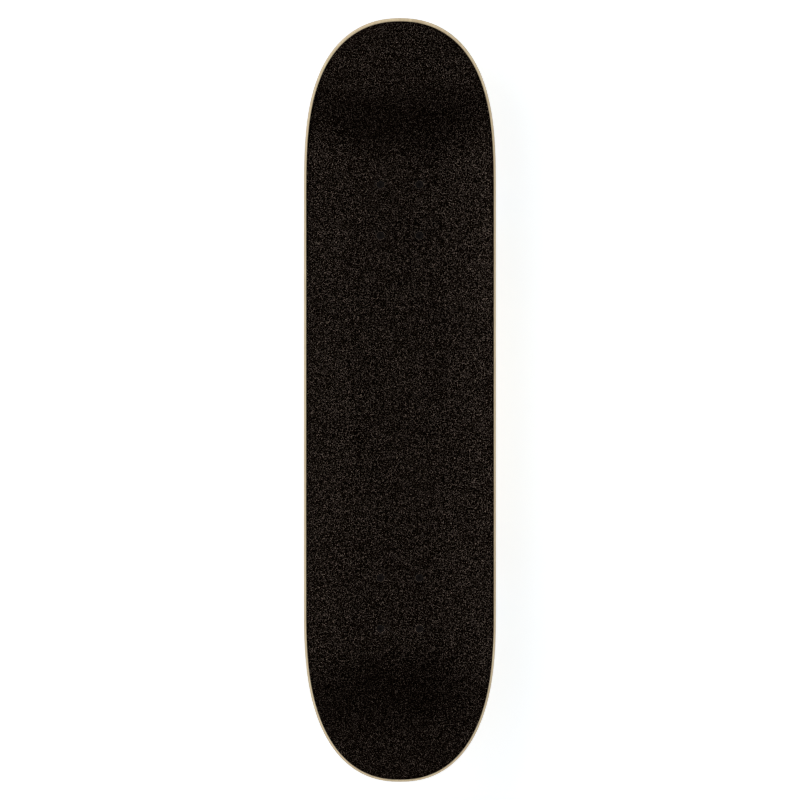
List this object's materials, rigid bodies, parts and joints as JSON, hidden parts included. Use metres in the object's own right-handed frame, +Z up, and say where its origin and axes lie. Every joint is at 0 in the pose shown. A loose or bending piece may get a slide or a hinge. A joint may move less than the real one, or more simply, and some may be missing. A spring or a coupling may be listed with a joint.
{
  "type": "skateboard",
  "caption": "Street skateboard: concave seven-layer maple deck with kicked nose and tail, black grip tape, sprung steering trucks and free-running urethane wheels.",
  "frame": {"origin": "on the ground, midway between the nose tip and the tail tip and midway between left and right", "axes": "+X towards the nose, +Y to the rider's left, +Z up"},
  "size_m": [0.8064, 0.2032, 0.1333],
  "materials": {
    "maple": "satin clear lacquer",
    "grip": "rough black mineral grit",
    "deck_hardware": "black oxide",
    "cast_aluminium": "raw casting, tumbled",
    "steel": "zinc plated",
    "bushing": "satin amber urethane",
    "pivot_cup": "matt black urethane",
    "wheel": "satin white urethane"
  },
  "bodies": {
    "deck": {"deck": "maple", "grip_tape": "grip", "nose_bolt_1": "deck_hardware", "nose_locknut_1": "deck_hardware", "nose_bolt_2": "deck_hardware", "nose_locknut_2": "deck_hardware", "nose_bolt_3": "deck_hardware", "nose_locknut_3": "deck_hardware", "nose_bolt_4": "deck_hardware", "nose_locknut_4": "deck_hardware", "nose_baseplate": "cast_aluminium", "nose_pivot_cup": "pivot_cup", "nose_kingpin": "steel", "nose_board_washer": "steel", "nose_board_bushing": "bushing", "nose_road_bushing": "bushing", "nose_road_washer": "steel", "nose_kingpin_nut": "steel", "tail_bolt_1": "deck_hardware", "tail_locknut_1": "deck_hardware", "tail_bolt_2": "deck_hardware", "tail_locknut_2": "deck_hardware", "tail_bolt_3": "deck_hardware", "tail_locknut_3": "deck_hardware", "tail_bolt_4": "deck_hardware", "tail_locknut_4": "deck_hardware", "tail_baseplate": "cast_aluminium", "tail_pivot_cup": "pivot_cup", "tail_kingpin": "steel", "tail_board_washer": "steel", "tail_board_bushing": "bushing", "tail_road_bushing": "bushing", "tail_road_washer": "steel", "tail_kingpin_nut": "steel"},
    "nose_hanger": {"nose_hanger": "cast_aluminium", "nose_axle": "steel", "nose_left_sleeve": "steel", "nose_left_axle_nut": "steel", "nose_right_sleeve": "steel", "nose_right_axle_nut": "steel"},
    "tail_hanger": {"tail_hanger": "cast_aluminium", "tail_axle": "steel", "tail_left_sleeve": "steel", "tail_left_axle_nut": "steel", "tail_right_sleeve": "steel", "tail_right_axle_nut": "steel"},
    "nose_left_wheel": {"nose_left_wheel": "wheel", "nose_left_inner_bearing": "steel", "nose_left_outer_bearing": "steel"},
    "nose_right_wheel": {"nose_right_wheel": "wheel", "nose_right_inner_bearing": "steel", "nose_right_outer_bearing": "steel"},
    "tail_left_wheel": {"tail_left_wheel": "wheel", "tail_left_inner_bearing": "steel", "tail_left_outer_bearing": "steel"},
    "tail_right_wheel": {"tail_right_wheel": "wheel", "tail_right_inner_bearing": "steel", "tail_right_outer_bearing": "steel"}
  },
  "joints": [
    {"name": "nose_steer", "type": "hinge", "parent": "deck", "child": "nose_hanger", "pos_m": [0.18898, 0, 0.0455], "axis": [0.848, 0, 0.5299], "range_deg": [-15, 15], "stiffness_Nm_per_rad": 80, "deforming": ["nose_board_bushing", "nose_road_bushing"]},
    {"name": "tail_steer", "type": "hinge", "parent": "deck", "child": "tail_hanger", "pos_m": [-0.20295, 0, 0.0455], "axis": [-0.848, 0, 0.5299], "range_deg": [-15, 15], "stiffness_Nm_per_rad": 80, "deforming": ["tail_board_bushing", "tail_road_bushing"]},
    {"name": "nose_left_spin", "type": "hinge", "parent": "nose_hanger", "child": "nose_left_wheel", "pos_m": [0.20648, 0.08, 0.026], "axis": [0, 1, 0], "continuous": true},
    {"name": "nose_right_spin", "type": "hinge", "parent": "nose_hanger", "child": "nose_right_wheel", "pos_m": [0.20648, -0.08, 0.026], "axis": [0, 1, 0], "continuous": true},
    {"name": "tail_left_spin", "type": "hinge", "parent": "tail_hanger", "child": "tail_left_wheel", "pos_m": [-0.22045, 0.08, 0.026], "axis": [0, 1, 0], "continuous": true},
    {"name": "tail_right_spin", "type": "hinge", "parent": "tail_hanger", "child": "tail_right_wheel", "pos_m": [-0.22045, -0.08, 0.026], "axis": [0, 1, 0], "continuous": true}
  ]
}
